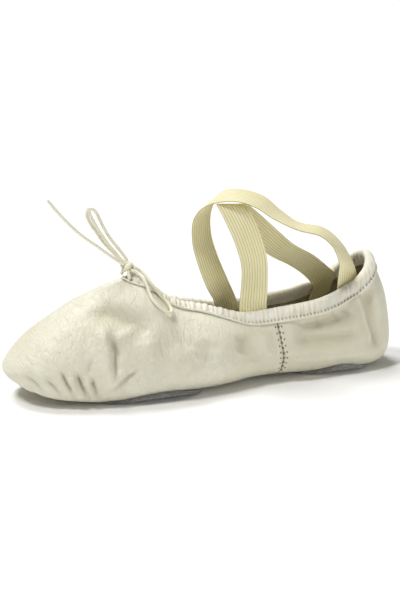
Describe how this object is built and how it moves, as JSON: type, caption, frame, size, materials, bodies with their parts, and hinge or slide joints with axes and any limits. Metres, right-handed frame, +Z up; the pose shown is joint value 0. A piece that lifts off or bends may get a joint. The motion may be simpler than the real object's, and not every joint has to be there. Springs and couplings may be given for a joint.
{
  "type": "ballet slipper",
  "caption": "Soft leather ballet slipper with a split suede sole, a drawstring collar tied in a bow and crossed elastic straps.",
  "frame": {"origin": "on the floor, under the middle of the shoe's length and width", "axes": "+X from the toe to the heel, +Y across the shoe, +Z up"},
  "size_m": [0.235, 0.082, 0.1115],
  "materials": {
    "leather": "soft matt",
    "suede": "napped suede",
    "sock": "woven cotton",
    "binding": "gathered tape",
    "elastic": "ribbed elastic",
    "string": "braided cotton"
  },
  "bodies": {
    "root": {"upper": "leather", "sole_forefoot": "suede", "sole_heel": "suede", "insole": "sock", "collar_binding": "binding", "strap_under": "elastic", "strap_over": "elastic", "string_knot": "string", "string_lead_near": "string", "string_lead_far": "string", "string_end_long": "string", "string_end_short": "string", "string_loop_near": "string", "string_loop_far": "string"}
  },
  "joints": []
}
